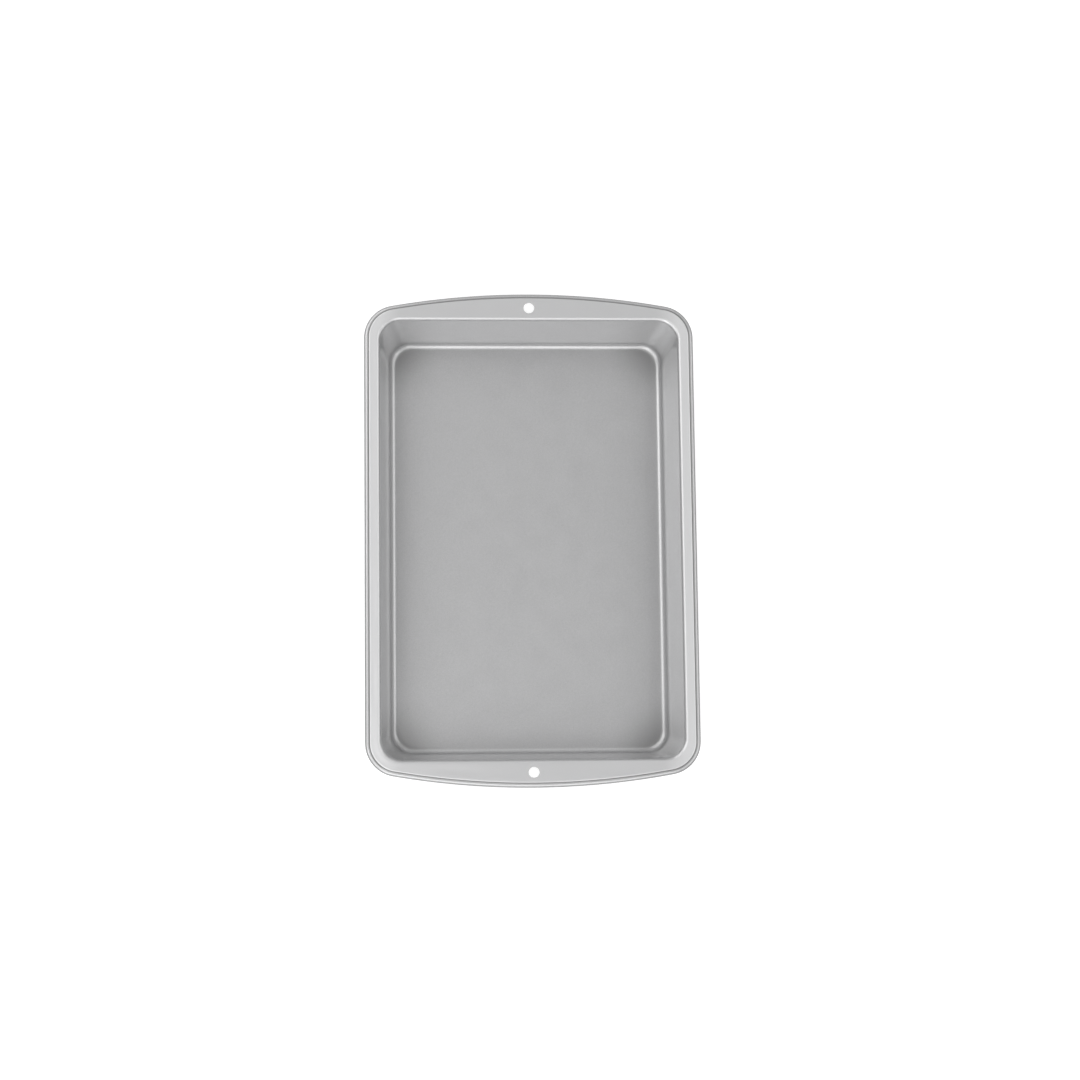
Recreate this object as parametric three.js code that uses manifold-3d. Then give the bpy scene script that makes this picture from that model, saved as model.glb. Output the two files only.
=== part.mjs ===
// Rectangular cake pan: one pressed steel sheet whose edge is rolled round a stiffening wire.
// Units are millimetres. +Z is up, +Y runs along the pan, and the origin is the middle of the underside.
import * as THREE from "three";
import { mergeVertices } from "three/addons/utils/BufferGeometryUtils.js";
import Module from "manifold-3d";

// Sheet and cavity. The mouth is where the walls' inner faces would meet the plane of the flange's top.
// Each bend's radius is the one on its hollow side.
const sheetThickness = 0.6;
const panHeight = 50;
const mouthWidth = 226.4;
const mouthLength = 333.4;
const wallDraft = THREE.MathUtils.degToRad(10);
const floorFillet = 4.5;
const mouthBend = 2.4;
const floorCorner = 16;
const mouthCorner = 16;

// Flange, from the mouth to the outside of the rolled edge, and how much more the middle of a handle has.
const flangeWidth = 11.8;
const handleRise = 8.8;
const rimCorner = 25;

// Step in the flange, and the flat ledge between its foot and the top of the rolled edge.
const stepDrop = 1.2;
const stepSlope = THREE.MathUtils.degToRad(50);
const stepCrest = 0.6;
const stepFoot = 0.8;
const stepLedge = 0.3;

// Rolled edge and the wire inside it.
const wireDiameter = 2.4;
const wireClearance = 0.3;
const rollSweep = THREE.MathUtils.degToRad(310);
const wireButtGap = 1;

// Hanging holes, one through the middle of each handle's flat, and how far their cutter runs past the sheet.
const holeDiameter = 8;
const cutterOverrun = 1;

// Fineness of the mesh, in steps.
const cornerSteps = 7;
const halfEndSteps = 6;
const filletSteps = 5;
const bendSteps = 4;
const stepSteps = 3;
const rollSteps = 14;
const wireSides = 10;
const holeSides = 40;

// The rolled edge's section, and where the flange's flat starts outside the mouth and stops inside the roll.
const rollInside = wireDiameter / 2 + wireClearance;
const rollOutside = rollInside + sheetThickness;
const rollHeight = panHeight - stepDrop - rollOutside;
const wallTurn = Math.PI / 2 - wallDraft;
const flatStart = (mouthBend + sheetThickness) * Math.tan(wallTurn / 2);
const stepFootCorner = -stepLedge - stepFoot * Math.tan(stepSlope / 2);
const stepCrestCorner = stepFootCorner - stepDrop / Math.tan(stepSlope);
const flatStop = stepCrestCorner - (stepCrest + sheetThickness) * Math.tan(stepSlope / 2);

// Directions of a section's lowest and highest points, seen from its centre.
const down = -Math.PI / 2;
const up = Math.PI / 2;

const wasm = await Module();
wasm.setup();

// Profiles are lists of { out, z, normal }: a distance outwards, a height and the sheet's front direction.

// Points along an arc about a centre, from one angle to another. side is 1 where the sheet's front faces away
// from the centre and -1 where it faces the centre.
function arcProfile(centreOut, centreZ, radius, fromAngle, toAngle, steps, side) {
  return Array.from({ length: steps + 1 }, (_, i) => {
    const angle = THREE.MathUtils.lerp(fromAngle, toAngle, i / steps);
    const radial = new THREE.Vector2(Math.cos(angle), Math.sin(angle));
    return {
      out: centreOut + radius * radial.x,
      z: centreZ + radius * radial.y,
      normal: radial.multiplyScalar(side),
    };
  });
}

// From the edge of the flat floor, up the wall and over the bend, measured outwards from the mouth.
function cavityProfile() {
  const cornerOut = -(panHeight - sheetThickness) * Math.tan(wallDraft);
  const filletCentreOut = cornerOut - floorFillet * Math.tan(wallTurn / 2);
  const filletCentreZ = sheetThickness + floorFillet;
  const bendRadius = mouthBend + sheetThickness;
  return [
    ...arcProfile(filletCentreOut, filletCentreZ, floorFillet, down, down + wallTurn, filletSteps, -1),
    ...arcProfile(flatStart, panHeight - bendRadius, bendRadius, up + wallTurn, up, bendSteps, 1),
  ];
}

// Over the step and round the roll, measured outwards from the middle of the rolled edge.
function rimProfile() {
  const crestRadius = stepCrest + sheetThickness;
  const footCentreZ = panHeight - stepDrop + stepFoot;
  return [
    ...arcProfile(flatStop, panHeight - crestRadius, crestRadius, up, up - stepSlope, stepSteps, 1),
    ...arcProfile(-stepLedge, footCentreZ, stepFoot, down - stepSlope, down, stepSteps, -1),
    ...arcProfile(0, rollHeight, rollOutside, up, up - rollSweep, rollSteps, 1),
  ];
}

// Plan outlines are loops of { point, normal }, all with as many stations, so that they can be joined.

// A quarter, from the middle of the side at +X to the middle of the end at +Y, mirrored into a whole loop.
function mirroredLoop(quarter) {
  const flip = (station, x, y) => ({
    point: new THREE.Vector2(station.point.x * x, station.point.y * y),
    normal: new THREE.Vector2(station.normal.x * x, station.normal.y * y),
  });
  const inner = quarter.slice(1, -1);
  const backwards = inner.toReversed();
  return [
    ...quarter,
    ...backwards.map((s) => flip(s, -1, 1)),
    flip(quarter[0], -1, 1),
    ...inner.map((s) => flip(s, -1, -1)),
    flip(quarter.at(-1), 1, -1),
    ...backwards.map((s) => flip(s, 1, -1)),
  ];
}

// Stations along an arc about a centre, with outward normals.
function arcStations(centre, radius, fromAngle, toAngle, steps) {
  return Array.from({ length: steps + 1 }, (_, i) => {
    const angle = THREE.MathUtils.lerp(fromAngle, toAngle, i / steps);
    const normal = new THREE.Vector2(Math.cos(angle), Math.sin(angle));
    return { point: normal.clone().multiplyScalar(radius).add(centre), normal };
  });
}

// A rectangle with round corners.
function roundedRectangle(halfWidth, halfLength, corner) {
  const centre = new THREE.Vector2(halfWidth - corner, halfLength - corner);
  const along = new THREE.Vector2(0, 1);
  return mirroredLoop([
    { point: new THREE.Vector2(halfWidth, 0), normal: new THREE.Vector2(1, 0) },
    ...arcStations(centre, corner, 0, Math.PI / 2, cornerSteps),
    ...Array.from({ length: halfEndSteps }, (_, i) => ({
      point: new THREE.Vector2(centre.x * (1 - (i + 1) / halfEndSteps), halfLength),
      normal: along,
    })),
  ]);
}

// The middle of the rolled edge: straight sides, bowed ends and round corners that are tangent to both.
function rimOutline() {
  const inset = flangeWidth - rollOutside;
  const corner = rimCorner - rollOutside;
  const cornerCentre = new THREE.Vector2(mouthWidth / 2 + inset - corner, mouthLength / 2 + inset - corner);
  const bow = corner + handleRise / 2 + cornerCentre.x ** 2 / (2 * handleRise);
  const bowCentre = new THREE.Vector2(0, mouthLength / 2 + inset + handleRise - bow);
  const meeting = Math.PI / 2 - Math.asin(cornerCentre.x / (bow - corner));
  return mirroredLoop([
    { point: new THREE.Vector2(mouthWidth / 2 + inset, 0), normal: new THREE.Vector2(1, 0) },
    ...arcStations(cornerCentre, corner, 0, meeting, cornerSteps),
    ...arcStations(bowCentre, bow, meeting, Math.PI / 2, halfEndSteps).slice(1),
  ]);
}

// The cavity's outline at a distance out from the mouth, with corners between the floor's and the mouth's.
function cavityOutline(out, floorOut) {
  const corner = THREE.MathUtils.mapLinear(out, floorOut, 0, floorCorner, mouthCorner);
  return roundedRectangle(mouthWidth / 2 + out, mouthLength / 2 + out, corner);
}

// Rows of points on the sheet's front face, each with the front direction at every point.
function sheetRows() {
  const cavity = cavityProfile();
  const floorOut = cavity[0].out;
  const rim = rimOutline();
  const rowOn = (outline, shift, { z, normal }) =>
    outline.map((station) => ({
      point: new THREE.Vector3(
        station.point.x + shift * station.normal.x,
        station.point.y + shift * station.normal.y,
        z,
      ),
      front: new THREE.Vector3(normal.x * station.normal.x, normal.x * station.normal.y, normal.y),
    }));
  return [
    ...cavity.map((p) => rowOn(cavityOutline(p.out, floorOut), 0, p)),
    ...rimProfile().map((p) => rowOn(rim, p.out, p)),
  ];
}

// Joins each ring of points to the next one.
function joinRings(rings, triangles) {
  rings.slice(1).forEach((next, r) => {
    const here = rings[r];
    here.forEach((point, i) => {
      const j = (i + 1) % here.length;
      triangles.push(point, next[i], next[j], point, next[j], here[j]);
    });
  });
}

// Closes a ring of points with triangles about its middle.
function capRing(ring, middle, triangles) {
  ring.forEach((point, i) => triangles.push(middle, point, ring[(i + 1) % ring.length]));
}

// The same triangles with shared corners merged, holding positions alone.
function merged(geometry) {
  const bare = new THREE.BufferGeometry();
  bare.setAttribute("position", geometry.getAttribute("position"));
  bare.setIndex(geometry.index);
  return mergeVertices(bare);
}

function solidOf(geometry) {
  const closed = merged(geometry);
  const vertProperties = closed.getAttribute("position").array;
  const triVerts = new Uint32Array(closed.index.array);
  return new wasm.Manifold(new wasm.Mesh({ numProp: 3, vertProperties, triVerts }));
}

function geometryFrom(solid) {
  const mesh = solid.getMesh();
  const geometry = new THREE.BufferGeometry();
  geometry.setAttribute("position", new THREE.BufferAttribute(mesh.vertProperties, 3));
  geometry.setIndex(new THREE.BufferAttribute(mesh.triVerts, 1));
  geometry.computeVertexNormals();
  return geometry;
}

// The sheet: its front face, its back face one thickness behind, the cut edge inside the roll, and the floor.
function sheetGeometry() {
  const rows = sheetRows();
  const front = rows.map((row) => row.map((p) => p.point));
  const back = rows.map((row) => row.map((p) => p.point.clone().addScaledVector(p.front, -sheetThickness)));
  const triangles = [];
  joinRings([...front, ...back.toReversed()], triangles);
  capRing(front[0], new THREE.Vector3(0, 0, sheetThickness), triangles);
  capRing(back[0].toReversed(), new THREE.Vector3(0, 0, 0), triangles);
  return new THREE.BufferGeometry().setFromPoints(triangles);
}

// The sheet with a hanging hole punched through the middle of each handle's flat.
function panBodyGeometry() {
  const radius = holeDiameter / 2;
  const punch = new THREE.CylinderGeometry(radius, radius, sheetThickness + 2 * cutterOverrun, holeSides);
  punch.rotateX(Math.PI / 2);
  const flatOuter = flangeWidth + handleRise - rollOutside + flatStop;
  const holeY = mouthLength / 2 + (flatStart + flatOuter) / 2;
  const holeZ = panHeight - sheetThickness / 2;
  const punches = [-1, 1].map((end) => solidOf(punch.clone().translate(0, end * holeY, holeZ)));
  return geometryFrom(punches.reduce((sheet, cutter) => sheet.subtract(cutter), solidOf(sheetGeometry())));
}

// The wire: a round section carried round the middle of the roll, cut in the middle of the side at +X.
function rimWireGeometry() {
  const outline = rimOutline();
  const start = outline[0];
  const cutAt = (y) => ({ point: new THREE.Vector2(start.point.x, y), normal: start.normal });
  const path = [cutAt(wireButtGap / 2), ...outline.slice(1), cutAt(-wireButtGap / 2)];
  const rings = path.map(({ point, normal }) =>
    Array.from({ length: wireSides }, (_, i) => {
      const angle = (2 * Math.PI * i) / wireSides;
      const out = (wireDiameter / 2) * Math.cos(angle);
      const height = rollHeight + (wireDiameter / 2) * Math.sin(angle);
      return new THREE.Vector3(point.x + out * normal.x, point.y + out * normal.y, height);
    }),
  );
  const middleOf = ({ point }) => new THREE.Vector3(point.x, point.y, rollHeight);
  const triangles = [];
  joinRings(rings, triangles);
  capRing(rings[0], middleOf(path[0]), triangles);
  capRing(rings.at(-1).toReversed(), middleOf(path.at(-1)), triangles);
  const geometry = merged(new THREE.BufferGeometry().setFromPoints(triangles));
  geometry.computeVertexNormals();
  return geometry;
}

function namedMesh(name, geometry, material) {
  const mesh = new THREE.Mesh(geometry, material);
  mesh.name = name;
  return mesh;
}

const coatedSteel = new THREE.MeshStandardMaterial({ color: 0xb4b5b6, roughness: 0.38, metalness: 0.85 });
const drawnWire = new THREE.MeshStandardMaterial({ color: 0xc4c6c8, roughness: 0.3, metalness: 1 });

const cakePan = new THREE.Group();
cakePan.name = "cake_pan";
cakePan.add(namedMesh("pan_body", panBodyGeometry(), coatedSteel));
cakePan.add(namedMesh("rim_wire", rimWireGeometry(), drawnWire));

export default cakePan;
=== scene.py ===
import math

import bmesh
import bpy
import numpy as np
from mathutils import Euler, Matrix, Vector


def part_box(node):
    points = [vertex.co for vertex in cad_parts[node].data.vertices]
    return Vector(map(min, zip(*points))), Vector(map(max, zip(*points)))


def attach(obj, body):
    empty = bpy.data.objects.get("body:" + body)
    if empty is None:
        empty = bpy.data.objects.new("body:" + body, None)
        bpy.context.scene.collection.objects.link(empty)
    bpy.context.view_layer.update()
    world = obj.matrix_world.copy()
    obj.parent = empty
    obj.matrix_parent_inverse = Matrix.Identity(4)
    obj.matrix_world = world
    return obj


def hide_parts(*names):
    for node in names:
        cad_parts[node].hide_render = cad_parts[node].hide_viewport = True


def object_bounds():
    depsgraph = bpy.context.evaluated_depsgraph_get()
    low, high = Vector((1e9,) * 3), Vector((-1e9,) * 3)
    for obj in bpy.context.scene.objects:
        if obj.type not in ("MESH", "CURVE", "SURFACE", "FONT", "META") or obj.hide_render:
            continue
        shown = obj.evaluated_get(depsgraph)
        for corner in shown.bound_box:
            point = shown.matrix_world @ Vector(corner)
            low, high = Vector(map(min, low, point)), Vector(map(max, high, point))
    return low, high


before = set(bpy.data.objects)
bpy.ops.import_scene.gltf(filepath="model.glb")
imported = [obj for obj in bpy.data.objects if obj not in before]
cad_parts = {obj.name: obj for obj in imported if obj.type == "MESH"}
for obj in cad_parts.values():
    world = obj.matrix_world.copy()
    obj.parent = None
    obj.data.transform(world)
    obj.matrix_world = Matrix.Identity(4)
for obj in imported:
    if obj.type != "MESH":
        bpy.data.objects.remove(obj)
cad_low, cad_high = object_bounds()
_, sheet_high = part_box("pan_body")

# Sizes of the pressed sheet, in metres. Each bend's radius is the one on its hollow side.
MM = 0.001
SHEET = 0.6 * MM
PAN_HEIGHT = sheet_high.z
MOUTH_HALF_WIDTH = 113.2 * MM
MOUTH_HALF_LENGTH = 166.7 * MM
WALL_DRAFT = math.radians(10)
FLOOR_FILLET = 4.5 * MM
MOUTH_BEND = 2.4 * MM
CAVITY_CORNER = 16.0 * MM

# The flange runs from the mouth to the outside of the rolled edge, and further at the middle of a handle.
FLANGE_WIDTH = sheet_high.x - MOUTH_HALF_WIDTH
HANDLE_RISE = sheet_high.y - MOUTH_HALF_LENGTH - FLANGE_WIDTH
RIM_CORNER = 25.0 * MM

# The step in the flange, the flat ledge at its foot, and the edge rolled round its wire.
STEP_DROP = 1.2 * MM
STEP_SLOPE = math.radians(50)
STEP_CREST = 0.6 * MM
STEP_FOOT = 0.8 * MM
STEP_LEDGE = 0.3 * MM
WIRE_RADIUS = 1.2 * MM
WIRE_CLEARANCE = 0.3 * MM
WIRE_BUTT_GAP = 1.0 * MM
ROLL_SWEEP = math.radians(310)

# The punched hanging holes: the punch rounds the front edge over and leaves the back edge sharp.
HOLE_RADIUS = 4.0 * MM
PUNCH_ROUNDING = 0.25 * MM

# Directions in the section, as angles from straight out.
UP = math.pi / 2
DOWN = -math.pi / 2

# Lines worked out from those sizes.
ROLL_RADIUS = WIRE_RADIUS + WIRE_CLEARANCE + SHEET
ROLL_HEIGHT = PAN_HEIGHT - STEP_DROP - ROLL_RADIUS
WALL_LEAN = (PAN_HEIGHT - SHEET) * math.tan(WALL_DRAFT)
WALL_TURN = UP - WALL_DRAFT
FLAT_START = (MOUTH_BEND + SHEET) * math.tan(WALL_TURN / 2)
STEP_FOOT_CORNER = -STEP_LEDGE - STEP_FOOT * math.tan(STEP_SLOPE / 2)
STEP_CREST_CORNER = STEP_FOOT_CORNER - STEP_DROP / math.tan(STEP_SLOPE)
FLAT_STOP = STEP_CREST_CORNER - (STEP_CREST + SHEET) * math.tan(STEP_SLOPE / 2)
HANDLE_FLAT_STOP = FLANGE_WIDTH + HANDLE_RISE - ROLL_RADIUS + FLAT_STOP
HOLE_Y = MOUTH_HALF_LENGTH + (FLAT_START + HANDLE_FLAT_STOP) / 2

# Fineness of the meshes, in steps along each stretch of the outline and of the section.
SIDE_STEPS = 40
CORNER_STEPS = 16
END_STEPS = 48
FLOOR_RINGS = 10
FILLET_STEPS = 10
WALL_STEPS = 14
BEND_STEPS = 8
FLANGE_STEPS = 12
STEP_STEPS = 5
ROLL_STEPS = 26
WIRE_SIDES = 20
PUNCH_STEPS = 4

# Points closer than the first are one point, and edges that turn more than the second stay sharp.
WELD_DISTANCE = 0.001 * MM
SHARP_TURN = math.radians(50)

# The square of flange left out round a hole: flange rows kept on either side, and stations to either side.
PATCH_ROWS_KEPT = 1
PATCH_HALF_STATIONS = 4
PATCH_SHARES = np.array([0.0, 0.3, 0.55, 0.75, 0.9, 1.0])

# Waves that pressing leaves in the sheet: heights, lengths from crest to crest, and starts in radians.
WALL_WAVE = 0.05 * MM
WALL_CROSS_WAVE = 0.6 * WALL_WAVE
WALL_WAVE_LENGTHS = (83.0 * MM, 47.0 * MM)
WALL_WAVE_STARTS = (0.7, 2.1)
CORNER_WAVE = 0.11 * MM
CORNER_WAVE_LENGTHS = (11.0 * MM, 17.0 * MM)
CORNER_WAVE_STARTS = (3.0, 1.0)
CORNER_WAVE_REACH = 40.0 * MM
FLANGE_WAVE = 0.06 * MM
FLANGE_WAVE_LENGTH = 61.0 * MM

# The flange's wave is still within the first distance from a hole's middle, and whole beyond the second.
HOLE_QUIET = (12.0 * MM, 40.0 * MM)

# How far below the flange's top the painted highlight reaches, how far from the floor's corners the painted
# shade reaches, and how metallic the coating is away from the painted highlight and under it.
PAINTED_HIGHLIGHT_DEPTH = 0.35 * MM
CORNER_SHADE_REACH = 45.0 * MM
FLAKE_METALLIC = 0.9
PAINTED_HIGHLIGHT_METALLIC = 0.35

# The colours that are left: painted highlights on the handles and, lighter, the side flanges; painted shade.
HANDLE_PAINTED_HIGHLIGHT = (0.5, 0.5, 0.505)
SIDE_PAINTED_HIGHLIGHT = (0.61, 0.61, 0.615)
PAINTED_SHADE_COLOUR = (0.3, 0.3, 0.3)

# How much a fleck stands out against the orange peel, as a share of the peel's height.
FLECK_RELIEF = 0.25

# Camera, fitted to the edges in the photograph: place, aim, the picture's level line and lens.
CAMERA_PLACE = (-0.1238, -0.3043, 2.0899)
CAMERA_AIM = (0.0064, -0.0021, 0.0500)
CAMERA_LEVEL = (1.0, -0.0026, 0.0)
CAMERA_LENS = 91.79
CAMERA_SENSOR = 36.0

# Square softboxes that face the pan from one distance: azimuth from +X and elevation in degrees, and watts.
# SURROUND is the strength of the faint even light from everywhere else.
SOFTBOX_WIDTH = 1.5
SOFTBOX_DISTANCE = 1.8
SOFTBOXES = {
    "near_softbox": (-98, 45, 10.0),
    "near_low_softbox": (-98, 25, 3.0),
    "near_right_softbox": (-45, 45, 5.0),
    "right_softbox": (0, 45, 8.5),
    "far_right_softbox": (45, 45, 3.7),
    "far_low_softbox": (88, 25, 3.6),
    "far_left_softbox": (135, 45, 11.8),
    "left_softbox": (180, 45, 4.9),
    "near_left_softbox": (-140, 45, 7.4),
    "near_left_high_softbox": (-140, 66, 4.0),
}
SURROUND = 0.15

# The studio floor: half its width, how far it lies below the pan, and how much light it gives back.
FLOOR_HALF_WIDTH = 40.0
FLOOR_GAP = 0.05 * MM
FLOOR_SHADE = 0.5
FLOOR_ROUGHNESS = 0.9

# The white that the camera alone sees added to the floor, and behind it.
FLOOR_WHITE = 0.7
BACKDROP_WHITE = 0.9


def mirrored(quarter):
    """Whole loop from a quarter that runs from the middle of the +X side to the middle of the +Y end.

    quarter is an array (..., stations, 2). It is taken forwards, then mirrored in X backwards, then in both
    forwards, then in Y backwards, without doubling the shared middles.
    """
    count = quarter.shape[-2]
    forwards = np.arange(count)
    backwards = forwards[::-1]
    order = np.concatenate([forwards, backwards[1:], forwards[1:], backwards[1:-1]])
    lengths = (count, count - 1, count - 1, count - 2)
    sign_x = np.repeat([1.0, -1.0, -1.0, 1.0], lengths)
    sign_y = np.repeat([1.0, 1.0, -1.0, -1.0], lengths)
    return quarter[..., order, :] * np.stack([sign_x, sign_y], axis=-1)


def cavity_loops(out):
    """Rounded rectangles at distances out from the mouth, one row for each, and their outward normals.

    A side point is the half width by a share of the straight, a corner point is on an arc of the corner's
    radius, and an end point is a share of the straight by the half length.
    """
    out = np.asarray(out)[:, None]
    half_width = MOUTH_HALF_WIDTH + out
    half_length = MOUTH_HALF_LENGTH + out
    corner_x = half_width - CAVITY_CORNER
    corner_y = half_length - CAVITY_CORNER
    side = np.arange(SIDE_STEPS) / SIDE_STEPS
    turn = np.linspace(0, UP, CORNER_STEPS + 1)
    end = 1 - np.arange(1, END_STEPS + 1) / END_STEPS
    sides_x = np.repeat(half_width, SIDE_STEPS, axis=1)
    sides_y = corner_y * side
    corners_x = corner_x + CAVITY_CORNER * np.cos(turn)
    corners_y = corner_y + CAVITY_CORNER * np.sin(turn)
    ends_x = corner_x * end
    ends_y = np.repeat(half_length, END_STEPS, axis=1)
    x = np.concatenate([sides_x, corners_x, ends_x], axis=1)
    y = np.concatenate([sides_y, corners_y, ends_y], axis=1)
    angle = np.concatenate([np.zeros(SIDE_STEPS), turn, np.full(END_STEPS, UP)])
    normal = np.stack([np.cos(angle), np.sin(angle)], axis=-1)
    return mirrored(np.stack([x, y], axis=-1)), mirrored(normal)


def rim_loop():
    """Middle of the rolled edge and its outward normals.

    Straight sides and corner arcs run into a bowed end that is tangent to the arcs. With corners of radius r
    about (cx, cy) and a rise h above the straight end, the bow's radius is r + h / 2 + cx^2 / (2 h), about a
    centre on the pan's middle plane.
    """
    inset = FLANGE_WIDTH - ROLL_RADIUS
    corner = RIM_CORNER - ROLL_RADIUS
    corner_x = MOUTH_HALF_WIDTH + inset - corner
    corner_y = MOUTH_HALF_LENGTH + inset - corner
    bow = corner + HANDLE_RISE / 2 + corner_x**2 / (2 * HANDLE_RISE)
    bow_y = MOUTH_HALF_LENGTH + inset + HANDLE_RISE - bow
    meeting = UP - math.asin(corner_x / (bow - corner))
    side = np.arange(SIDE_STEPS) / SIDE_STEPS
    turn = np.linspace(0, meeting, CORNER_STEPS + 1)
    sweep = np.linspace(meeting, UP, END_STEPS + 1)[1:]
    sides_x = np.full(SIDE_STEPS, corner_x + corner)
    corners_x = corner_x + corner * np.cos(turn)
    corners_y = corner_y + corner * np.sin(turn)
    x = np.concatenate([sides_x, corners_x, bow * np.cos(sweep)])
    y = np.concatenate([corner_y * side, corners_y, bow_y + bow * np.sin(sweep)])
    angle = np.concatenate([np.zeros(SIDE_STEPS), turn, sweep])
    normal = np.stack([np.cos(angle), np.sin(angle)], axis=-1)
    return mirrored(np.stack([x, y], axis=-1)), mirrored(normal)


def arc_section(centre_out, centre_z, radius, start, stop, steps, facing):
    """Section points (out, z, normal out, normal z) at even angles along an arc.

    facing is 1 where the front of the sheet faces away from the centre and -1 where it faces the centre.
    """
    angle = np.linspace(start, stop, steps + 1)
    along = np.stack([np.cos(angle), np.sin(angle)], axis=-1)
    place = np.array([centre_out, centre_z]) + radius * along
    return np.concatenate([place, facing * along], axis=1)


def straight_section(first, last, steps):
    """Section points strictly between two others, closer together towards both, by half a cosine wave."""
    share = (1 - np.cos(math.pi * np.arange(1, steps) / steps)) / 2
    return first + share[:, None] * (last - first)


def cavity_section():
    """Section from the edge of the flat floor, round the fillet, up the wall and over the mouth's bend."""
    fillet_out = -WALL_LEAN - FLOOR_FILLET * math.tan(WALL_TURN / 2)
    fillet_z = SHEET + FLOOR_FILLET
    bend = MOUTH_BEND + SHEET
    fillet_rows = arc_section(fillet_out, fillet_z, FLOOR_FILLET, DOWN, DOWN + WALL_TURN, FILLET_STEPS, -1)
    bend_rows = arc_section(FLAT_START, PAN_HEIGHT - bend, bend, UP + WALL_TURN, UP, BEND_STEPS, 1)
    wall_rows = straight_section(fillet_rows[-1], bend_rows[0], WALL_STEPS)
    return np.concatenate([fillet_rows, wall_rows, bend_rows])


def rim_section():
    """Section over the step's crest, down to its foot and ledge and round the roll, out from its middle."""
    crest = STEP_CREST + SHEET
    foot_z = PAN_HEIGHT - STEP_DROP + STEP_FOOT
    crest_rows = arc_section(FLAT_STOP, PAN_HEIGHT - crest, crest, UP, UP - STEP_SLOPE, STEP_STEPS, 1)
    foot_rows = arc_section(-STEP_LEDGE, foot_z, STEP_FOOT, DOWN - STEP_SLOPE, DOWN, STEP_STEPS, -1)
    roll_rows = arc_section(0, ROLL_HEIGHT, ROLL_RADIUS, UP, UP - ROLL_SWEEP, ROLL_STEPS, 1)
    return np.concatenate([crest_rows, foot_rows, roll_rows])


def stand_up(plan, plan_normal, section):
    """Points and front normals in space: each section row's height and tilt, put on its own plan loop."""
    shape = plan.shape[:2] + (1,)
    height = np.broadcast_to(section[:, None, 1:2], shape)
    normal_out = section[:, None, 2:3] * plan_normal
    normal_up = np.broadcast_to(section[:, None, 3:4], shape)
    return np.concatenate([plan, height], axis=-1), np.concatenate([normal_out, normal_up], axis=-1)


def front_face():
    """Front of the sheet as rings of points with their normals, and where the flange's and rim's rings start.

    Rings shrink to the middle of the floor by a sine, follow the cavity's section to the flange, cross the
    flange in even shares from the mouth's loop to the rim's loop, and follow the rim's section round the
    roll.
    """
    cavity = cavity_section()
    cavity_plan, cavity_normal = cavity_loops(cavity[:, 0])
    cavity_points, cavity_normals = stand_up(cavity_plan, cavity_normal, cavity)

    shrink = np.sin(UP * np.arange(FLOOR_RINGS) / FLOOR_RINGS)
    floor_points = cavity_points[0] * np.stack([shrink, shrink, np.ones(FLOOR_RINGS)], axis=-1)[:, None]
    floor_normals = np.broadcast_to(cavity_normals[0], floor_points.shape)

    rim = rim_section()
    rim_middle, rim_normal = rim_loop()
    rim_points, rim_normals = stand_up(rim_middle + rim[:, None, :1] * rim_normal, rim_normal, rim)

    share = np.arange(1, FLANGE_STEPS) / FLANGE_STEPS
    flange_points = cavity_points[-1] + share[:, None, None] * (rim_points[0] - cavity_points[-1])
    flange_normals = np.broadcast_to(cavity_normals[-1], flange_points.shape)

    rings = np.concatenate([floor_points, cavity_points, flange_points, rim_points])
    normals = np.concatenate([floor_normals, cavity_normals, flange_normals, rim_normals])
    flange_first = FLOOR_RINGS + len(cavity) - 1
    rim_first = len(rings) - len(rim)
    return rings, normals, flange_first, rim_first


def smooth_step(low, high, value):
    """0 below low, 1 above high and a smooth cubic between."""
    share = np.clip((value - low) / (high - low), 0, 1)
    return share * share * (3 - 2 * share)


def pressing_waves(rings, flange_first):
    """How far pressing leaves each point off the ideal face, along its normal.

    Walls get two long sine waves that cross and fade out at the fillet and at the bend, the drawn corners get
    shorter ones round and up them, and the flange sags in a long wave that is still at the mouth, at the step
    and round the holes.
    """
    x, y, z = np.moveaxis(rings, -1, 0)
    long_turn, short_turn = 2 * math.pi / np.array(WALL_WAVE_LENGTHS)
    long_start, short_start = WALL_WAVE_STARTS
    long_wave = WALL_WAVE * np.sin(long_turn * (x + y) + long_start)
    cross_wave = WALL_CROSS_WAVE * np.sin(short_turn * (y - x) + short_start)

    corner_x = MOUTH_HALF_WIDTH - np.abs(x)
    corner_y = MOUTH_HALF_LENGTH - np.abs(y)
    in_corner = 1 - smooth_step(CAVITY_CORNER, CORNER_WAVE_REACH, np.maximum(corner_x, corner_y))
    round_turn, rise_turn = 2 * math.pi / np.array(CORNER_WAVE_LENGTHS)
    side_start, end_start = CORNER_WAVE_STARTS
    rise = rise_turn * z + side_start * np.sign(x) + end_start * np.sign(y)
    corner_wave = CORNER_WAVE * in_corner * np.sin(round_turn * (x - y)) * np.cos(rise)

    wall_low = SHEET + FLOOR_FILLET
    wall_high = PAN_HEIGHT - MOUTH_BEND
    up_wall = np.clip((z - wall_low) / (wall_high - wall_low), 0, 1)
    on_wall = np.sin(math.pi * up_wall) ** 2

    across_flange = np.zeros((len(rings), 1))
    flange_rows = slice(flange_first, flange_first + FLANGE_STEPS + 1)
    across_flange[flange_rows, 0] = np.sin(np.linspace(0, math.pi, FLANGE_STEPS + 1)) ** 2
    off_hole = smooth_step(*HOLE_QUIET, np.hypot(x, np.abs(y) - HOLE_Y))
    sag = -FLANGE_WAVE * (1 + np.sin(2 * math.pi * (x + y) / FLANGE_WAVE_LENGTH)) / 2
    return on_wall * (long_wave + cross_wave + corner_wave) + across_flange * off_hole * sag


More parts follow.
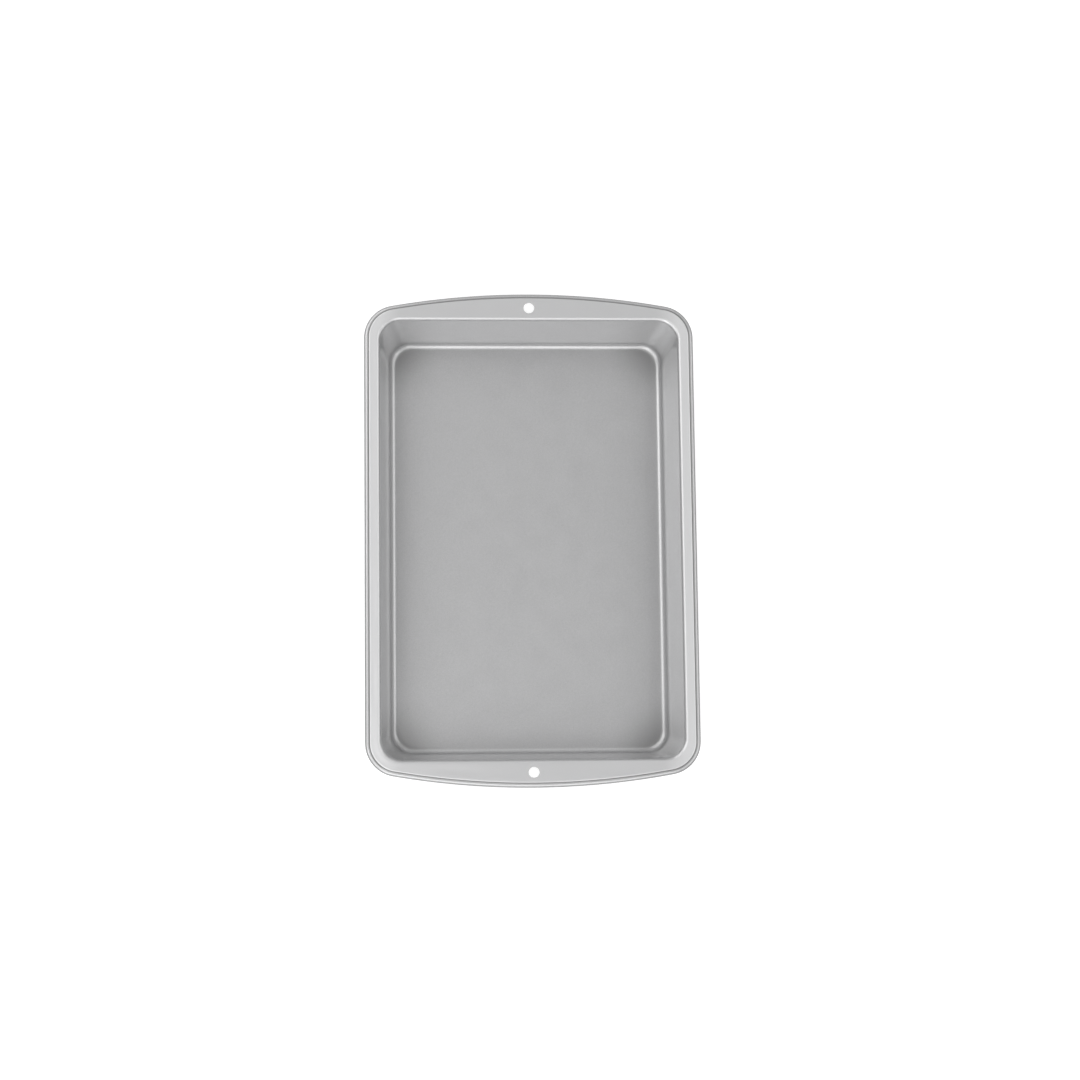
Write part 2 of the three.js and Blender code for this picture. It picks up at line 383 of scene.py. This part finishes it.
def painted_shade_mask(rings, rim_first):
    """How much shade is painted on each point of the front, from 0 to 1.

    It is 1 on the rings of the step's slope and foot, shade painted into that crease. Round each corner of
    the floor's rectangle the painted shade falls smoothly with distance, and it is gone half a fillet's
    radius above the floor.
    """
    x, y, z = np.moveaxis(np.abs(rings), -1, 0)
    # Painted shade round the floor's corners, fading with distance and up the fillet.
    from_corner = np.hypot(x - MOUTH_HALF_WIDTH + WALL_LEAN, y - MOUTH_HALF_LENGTH + WALL_LEAN)
    up_fillet = smooth_step(0, FLOOR_FILLET / 2, z - SHEET)
    painted_shade = (1 - smooth_step(0, CORNER_SHADE_REACH, from_corner)) * (1 - up_fillet)
    crest_last = rim_first + STEP_STEPS
    foot_last = crest_last + STEP_STEPS + 1
    # Painted shade along the step's slope and foot, the crease beside the roll.
    painted_shade[crest_last : foot_last + 1] = 1.0
    return painted_shade


def ring_faces(rings, stations, first=0):
    """Four-sided faces between closed rings of points that are numbered ring by ring from first."""
    here = first + np.arange(rings * stations).reshape(rings, stations)
    beside = np.roll(here, -1, axis=1)
    return np.stack([here[:-1], here[1:], beside[1:], beside[:-1]], axis=-1)


def hole_patch(front, back, flange_rows, stations):
    """Flange round one hanging hole, as rings from the square left out to the hole and back underneath.

    The square's edge is drawn in to the hole's circle by shares, a quarter of a circle rounds the front edge,
    and the back face runs out again to the square by the same shares.
    """
    inner, outer = flange_rows.start, flange_rows.stop
    left, right = stations.start, stations.stop
    across = np.arange(left, right)
    along = np.arange(inner, outer)
    inner_row = np.full(len(across), inner)
    outer_row = np.full(len(across), outer)
    left_column = np.full(len(along), left)
    right_column = np.full(len(along), right)
    rows = np.concatenate([inner_row, along, outer_row, along[::-1] + 1])
    columns = np.concatenate([across, right_column, across[::-1] + 1, left_column])
    edge = front[rows, columns]
    back_edge = back[rows, columns]

    centre = np.array([0.0, math.copysign(HOLE_Y, edge[0, 1])])
    spoke = edge[:, :2] - centre
    spoke = spoke / np.linalg.norm(spoke, axis=1, keepdims=True)
    bend = np.linspace(0, UP, PUNCH_STEPS + 1)[:, None]
    radius = HOLE_RADIUS + PUNCH_ROUNDING * (1 - np.sin(bend))
    height = PAN_HEIGHT - PUNCH_ROUNDING * (1 - np.cos(bend))
    rounding_plan = centre + radius[..., None] * spoke
    rounding_height = np.broadcast_to(height[..., None], rounding_plan.shape[:2] + (1,))
    rounding = np.concatenate([rounding_plan, rounding_height], axis=-1)
    back_lip = rounding[-1].copy()
    back_lip[:, 2] = PAN_HEIGHT - SHEET

    share = PATCH_SHARES[:, None, None]
    above = edge + share * (rounding[0] - edge)
    below = back_edge + share[::-1] * (back_lip - back_edge)
    return np.concatenate([above, rounding[1:], below])


def pan_sheet_mesh():
    """The whole sheet: its points, its faces and the painted shade at each point.

    Front rings run outwards and back rings inwards, one thickness behind, with the holes let in. The
    painted shade is 0 on the back and round the holes.
    """
    front, normals, flange_first, rim_first = front_face()
    waves = pressing_waves(front, flange_first)[..., None] * normals
    front = front + waves
    back = front - SHEET * normals
    rings = np.concatenate([front, back[::-1]])
    count, stations = rings.shape[:2]
    quads = ring_faces(count, stations)

    kept = np.ones(quads.shape[:2], dtype=bool)
    points = [rings.reshape(-1, 3)]
    patch_faces = []
    flange_rows = slice(flange_first + PATCH_ROWS_KEPT, flange_first + FLANGE_STEPS - PATCH_ROWS_KEPT)
    back_rows = slice(count - 1 - flange_rows.stop, count - 1 - flange_rows.start)
    quarter = SIDE_STEPS + CORNER_STEPS + END_STEPS
    for middle in (quarter, 3 * quarter):
        columns = slice(middle - PATCH_HALF_STATIONS, middle + PATCH_HALF_STATIONS)
        kept[flange_rows, columns] = False
        kept[back_rows, columns] = False
        patch = hole_patch(front, back, flange_rows, columns)
        first = sum(len(block) for block in points)
        points.append(patch.reshape(-1, 3))
        patch_faces.append(ring_faces(*patch.shape[:2], first).reshape(-1, 4))
    points = np.concatenate(points)
    # Painted shade on the front only: the step's crease and the floor's corners.
    front_painted_shade = painted_shade_mask(front, rim_first).ravel()
    painted_shade = np.concatenate([front_painted_shade, np.zeros(len(points) - len(front_painted_shade))])
    return points, np.concatenate([quads[kept], *patch_faces]), painted_shade


def wire_mesh():
    """The wire: a circle carried round the middle of the roll, cut square in the middle of the +X side."""
    middle, normal = rim_loop()
    middle = np.concatenate([middle, middle[:1]])
    normal = np.concatenate([normal, normal[:1]])
    middle[[0, -1], 1] = WIRE_BUTT_GAP / 2, -WIRE_BUTT_GAP / 2
    angle = 2 * math.pi * np.arange(WIRE_SIDES) / WIRE_SIDES
    plan = middle[:, None] + WIRE_RADIUS * np.cos(angle)[:, None] * normal[:, None]
    height = np.broadcast_to((ROLL_HEIGHT + WIRE_RADIUS * np.sin(angle))[:, None], plan.shape[:2] + (1,))
    tube = np.concatenate([plan, height], axis=-1)
    ends = np.concatenate([middle[[0, -1]], np.full((2, 1), ROLL_HEIGHT)], axis=1)
    caps = np.broadcast_to(ends[:, None], (2, WIRE_SIDES, 3))
    rings = np.concatenate([caps[:1], tube, caps[1:]])
    return rings.reshape(-1, 3), ring_faces(*rings.shape[:2]).reshape(-1, 4)


def piece(name, points, faces, material, painted_shade=None):
    """A mesh object at the origin, with doubled points welded and smooth shading except over sharp edges.

    The painted shade, where it is given, becomes the point attribute that the coating reads.
    """
    mesh = bpy.data.meshes.new(name)
    mesh.from_pydata(points, [], faces.tolist())
    # The painted shade rides on the mesh as a point attribute.
    if painted_shade is not None:
        mesh.attributes.new("painted_shade", "FLOAT", "POINT").data.foreach_set("value", painted_shade)
    shape = bmesh.new()
    shape.from_mesh(mesh)
    bmesh.ops.remove_doubles(shape, verts=shape.verts, dist=WELD_DISTANCE)
    shape.to_mesh(mesh)
    shape.free()
    mesh.shade_smooth()
    mesh.set_sharp_from_angle(angle=SHARP_TURN)
    mesh.materials.append(material)
    made = bpy.data.objects.new(name, mesh)
    bpy.context.scene.collection.objects.link(made)
    return made


def coating_grain_group():
    """Fine metal flecks, broad mottling and a slight orange peel, as values that change over a surface."""
    group = bpy.data.node_groups.new("coating_grain", "ShaderNodeTree")
    sockets = group.interface
    sockets.new_socket("Vector", in_out="INPUT", socket_type="NodeSocketVector")
    for name in ("Fleck Scale", "Mottle Scale", "Peel Scale"):
        sockets.new_socket(name, in_out="INPUT", socket_type="NodeSocketFloat")
    for name in ("Fleck", "Mottle", "Height"):
        sockets.new_socket(name, in_out="OUTPUT", socket_type="NodeSocketFloat")
    nodes, links = group.nodes, group.links
    given = nodes.new("NodeGroupInput")
    result = nodes.new("NodeGroupOutput")

    flecks = nodes.new("ShaderNodeTexVoronoi")
    fleck_tones = nodes.new("ShaderNodeSeparateColor")
    links.new(given.outputs["Vector"], flecks.inputs["Vector"])
    links.new(given.outputs["Fleck Scale"], flecks.inputs["Scale"])
    links.new(flecks.outputs["Color"], fleck_tones.inputs["Color"])
    links.new(fleck_tones.outputs["Red"], result.inputs["Fleck"])

    mottle = nodes.new("ShaderNodeTexNoise")
    mottle.inputs["Detail"].default_value = 3.0
    links.new(given.outputs["Vector"], mottle.inputs["Vector"])
    links.new(given.outputs["Mottle Scale"], mottle.inputs["Scale"])
    links.new(mottle.outputs["Fac"], result.inputs["Mottle"])

    peel = nodes.new("ShaderNodeTexNoise")
    peel.inputs["Detail"].default_value = 1.0
    links.new(given.outputs["Vector"], peel.inputs["Vector"])
    links.new(given.outputs["Peel Scale"], peel.inputs["Scale"])
    height = nodes.new("ShaderNodeMath")
    height.operation = "MULTIPLY_ADD"
    height.inputs[1].default_value = FLECK_RELIEF
    links.new(fleck_tones.outputs["Green"], height.inputs[0])
    links.new(peel.outputs["Fac"], height.inputs[2])
    links.new(height.outputs["Value"], result.inputs["Height"])
    return group


def colour_mix(nodes, links, share, first, second):
    """Socket of a colour that goes from first to second as the socket share goes from 0 to 1.

    first and second are each a plain colour or a socket.
    """
    mix = nodes.new("ShaderNodeMix")
    mix.data_type = "RGBA"
    links.new(share, mix.inputs["Factor"])
    for socket, colour in (("A", first), ("B", second)):
        if isinstance(colour, tuple):
            mix.inputs[socket].default_value = (*colour, 1.0)
        else:
            links.new(colour, mix.inputs[socket])
    return mix.outputs["Result"]


def grained_metal(name, grain, shades, roughness, metallic, bump, scales):
    """A metal finish: flecks between two shades, mottled roughness and a fine bump, all from the grain."""
    material = bpy.data.materials.new(name)
    material.use_nodes = True
    nodes, links = material.node_tree.nodes, material.node_tree.links
    shader = nodes["Principled BSDF"]
    shader.inputs["Metallic"].default_value = metallic
    where = nodes.new("ShaderNodeTexCoord")
    pattern = nodes.new("ShaderNodeGroup")
    pattern.node_tree = grain
    links.new(where.outputs["Object"], pattern.inputs["Vector"])
    for socket, scale in scales.items():
        pattern.inputs[socket].default_value = scale

    links.new(colour_mix(nodes, links, pattern.outputs["Fleck"], *shades), shader.inputs["Base Color"])

    gloss = nodes.new("ShaderNodeMapRange")
    gloss.inputs["To Min"].default_value, gloss.inputs["To Max"].default_value = roughness
    links.new(pattern.outputs["Mottle"], gloss.inputs["Value"])
    links.new(gloss.outputs["Result"], shader.inputs["Roughness"])

    relief = nodes.new("ShaderNodeBump")
    relief.inputs["Distance"].default_value = bump
    links.new(pattern.outputs["Height"], relief.inputs["Height"])
    links.new(relief.outputs["Normal"], shader.inputs["Normal"])
    return material


def silver_coating(grain):
    """Satin silver coating: metal flakes under a clear coat, with a highlight painted on the flange's top.

    The painted highlight grows from nothing a set depth below the flange's top to full at twice the depth of
    the flange's waves, and its colour turns from the handles' to the sides' across the corners. The piece's
    painted shade goes over that.
    """
    material = grained_metal(
        "silver_coating",
        grain,
        shades=((0.45, 0.45, 0.455), (0.53, 0.53, 0.535)),
        roughness=(0.44, 0.54),
        metallic=FLAKE_METALLIC,
        bump=0.004 * MM,
        scales={"Fleck Scale": 3200.0, "Mottle Scale": 60.0, "Peel Scale": 700.0},
    )
    nodes, links = material.node_tree.nodes, material.node_tree.links
    shader = nodes["Principled BSDF"]
    shader.inputs["Coat Weight"].default_value = 1.0
    shader.inputs["Coat Roughness"].default_value = 0.12
    shader.inputs["Coat IOR"].default_value = 1.92

    flecked = shader.inputs["Base Color"].links[0].from_socket
    place = nodes.new("ShaderNodeSeparateXYZ")
    # Share of painted highlight: none a set depth below the flange's top, full on the top itself.
    painted_highlight_share = nodes.new("ShaderNodeMapRange")
    painted_highlight_share.inputs["From Min"].default_value = PAN_HEIGHT - PAINTED_HIGHLIGHT_DEPTH
    painted_highlight_share.inputs["From Max"].default_value = PAN_HEIGHT - 2 * FLANGE_WAVE
    sideways = nodes.new("ShaderNodeMath")
    sideways.operation = "ABSOLUTE"
    at_side = nodes.new("ShaderNodeMapRange")
    at_side.inputs["From Min"].default_value = MOUTH_HALF_WIDTH - CAVITY_CORNER
    at_side.inputs["From Max"].default_value = MOUTH_HALF_WIDTH
    # Share of painted shade, read from the sheet's point attribute.
    painted_shade = nodes.new("ShaderNodeAttribute")
    painted_shade.attribute_name = "painted_shade"
    links.new(nodes["Texture Coordinate"].outputs["Object"], place.inputs["Vector"])
    links.new(place.outputs["Z"], painted_highlight_share.inputs["Value"])
    links.new(place.outputs["X"], sideways.inputs[0])
    links.new(sideways.outputs["Value"], at_side.inputs["Value"])

    # Under the painted highlight the coating is also made less metallic.
    sheen = nodes.new("ShaderNodeMapRange")
    sheen.inputs["To Min"].default_value = FLAKE_METALLIC
    sheen.inputs["To Max"].default_value = PAINTED_HIGHLIGHT_METALLIC
    links.new(painted_highlight_share.outputs["Result"], sheen.inputs["Value"])
    links.new(sheen.outputs["Result"], shader.inputs["Metallic"])

    # Painted highlight colour, from the handles' to the side flanges', then painted shade over it.
    painted_highlight_colour = colour_mix(nodes, links, at_side.outputs["Result"], HANDLE_PAINTED_HIGHLIGHT, SIDE_PAINTED_HIGHLIGHT)
    with_painted_highlight = colour_mix(nodes, links, painted_highlight_share.outputs["Result"], flecked, painted_highlight_colour)
    with_painted_shade = colour_mix(nodes, links, painted_shade.outputs["Fac"], with_painted_highlight, PAINTED_SHADE_COLOUR)
    links.new(with_painted_shade, shader.inputs["Base Color"])
    return material


def drawn_steel(grain):
    """Bright drawn wire with a finer grain than the coating's."""
    return grained_metal(
        "drawn_steel",
        grain,
        shades=((0.58, 0.57, 0.56), (0.68, 0.67, 0.66)),
        roughness=(0.24, 0.38),
        metallic=1.0,
        bump=0.003 * MM,
        scales={"Fleck Scale": 2400.0, "Mottle Scale": 160.0, "Peel Scale": 1800.0},
    )


def studio_floor():
    """A wide pale plane a hair below the pan, which the camera alone sees as bright as a light table."""
    half = FLOOR_HALF_WIDTH
    level = cad_low.z - FLOOR_GAP
    corners = [(-half, -half, level), (half, -half, level), (half, half, level), (-half, half, level)]
    mesh = bpy.data.meshes.new("studio_floor")
    mesh.from_pydata(corners, [], [(0, 1, 2, 3)])
    material = bpy.data.materials.new("pale_floor")
    material.use_nodes = True
    nodes, links = material.node_tree.nodes, material.node_tree.links
    shader = nodes["Principled BSDF"]
    shader.inputs["Base Color"].default_value = (FLOOR_SHADE, FLOOR_SHADE, FLOOR_SHADE, 1.0)
    shader.inputs["Roughness"].default_value = FLOOR_ROUGHNESS
    shader.inputs["Specular IOR Level"].default_value = 0.0
    shader.inputs["Emission Color"].default_value = (FLOOR_WHITE, FLOOR_WHITE, FLOOR_WHITE, 1.0)
    links.new(nodes.new("ShaderNodeLightPath").outputs["Is Camera Ray"], shader.inputs["Emission Strength"])
    mesh.materials.append(material)
    floor = bpy.data.objects.new("studio_floor", mesh)
    bpy.context.scene.collection.objects.link(floor)


def studio_light():
    """Softboxes round the pan's mouth, and a faint even surround that the camera alone sees as white."""
    middle = Vector((0, 0, PAN_HEIGHT))
    for name, (azimuth, elevation, watts) in SOFTBOXES.items():
        light = bpy.data.lights.new(name, "AREA")
        light.shape = "SQUARE"
        light.size = SOFTBOX_WIDTH
        light.energy = watts
        lamp = bpy.data.objects.new(name, light)
        turn = Euler((0, math.radians(-elevation), math.radians(azimuth)))
        away = turn.to_matrix() @ Vector((1, 0, 0))
        lamp.location = middle + SOFTBOX_DISTANCE * away
        lamp.rotation_euler = away.to_track_quat("Z", "Y").to_euler()
        bpy.context.scene.collection.objects.link(lamp)
    world = bpy.data.worlds.new("studio")
    world.use_nodes = True
    nodes, links = world.node_tree.nodes, world.node_tree.links
    nodes["Background"].inputs["Color"].default_value = (1.0, 1.0, 1.0, 1.0)
    seen = nodes.new("ShaderNodeMapRange")
    seen.inputs["To Min"].default_value = SURROUND
    seen.inputs["To Max"].default_value = BACKDROP_WHITE
    links.new(nodes.new("ShaderNodeLightPath").outputs["Is Camera Ray"], seen.inputs["Value"])
    links.new(seen.outputs["Result"], nodes["Background"].inputs["Strength"])
    bpy.context.scene.world = world


def photograph_camera():
    """Camera above the pan, leaning to its near left, with the picture's right close to +X."""
    place = Vector(CAMERA_PLACE)
    forward = (Vector(CAMERA_AIM) - place).normalized()
    level = Vector(CAMERA_LEVEL)
    right = (level - level.dot(forward) * forward).normalized()
    up = right.cross(forward)
    data = bpy.data.cameras.new("photograph_camera")
    data.lens = CAMERA_LENS
    data.sensor_width = CAMERA_SENSOR
    camera = bpy.data.objects.new("photograph_camera", data)
    turn = Matrix((right, up, -forward)).transposed()
    camera.matrix_world = Matrix.Translation(place) @ turn.to_4x4()
    bpy.context.scene.collection.objects.link(camera)
    bpy.context.scene.camera = camera


grain = coating_grain_group()
sheet_points, sheet_faces, sheet_painted_shade = pan_sheet_mesh()
pan_sheet = piece("pan_sheet", sheet_points, sheet_faces, silver_coating(grain), sheet_painted_shade)
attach(pan_sheet, "root")
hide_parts("pan_body")

wire_hoop = piece("wire_hoop", *wire_mesh(), drawn_steel(grain))
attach(wire_hoop, "root")
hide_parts("rim_wire")

studio_floor()
studio_light()
photograph_camera()
bpy.context.scene.view_settings.view_transform = "Standard"
